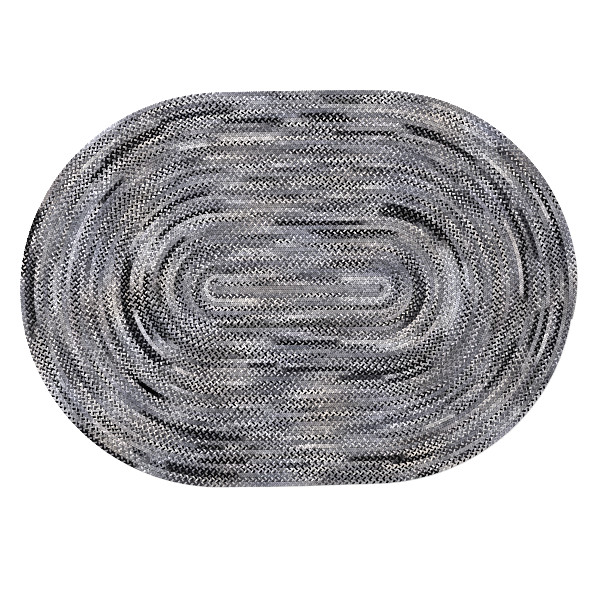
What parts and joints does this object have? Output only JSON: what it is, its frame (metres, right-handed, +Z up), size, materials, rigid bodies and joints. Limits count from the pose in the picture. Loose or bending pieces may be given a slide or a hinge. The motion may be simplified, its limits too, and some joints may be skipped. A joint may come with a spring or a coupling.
{
  "type": "braided rug",
  "caption": "Flat oval rug of one grey, black and cream braid wound in a spiral and laced edge to edge.",
  "frame": {"origin": "middle of the flat underside", "axes": "+X along the rug's length, +Y across it, +Z up from the floor"},
  "size_m": [2.1336, 1.518, 0.0095],
  "materials": {
    "yarn": "matt mixed black, grey, blue-grey and cream yarn"
  },
  "bodies": {
    "root": {"braided_rug": "yarn"}
  },
  "joints": []
}
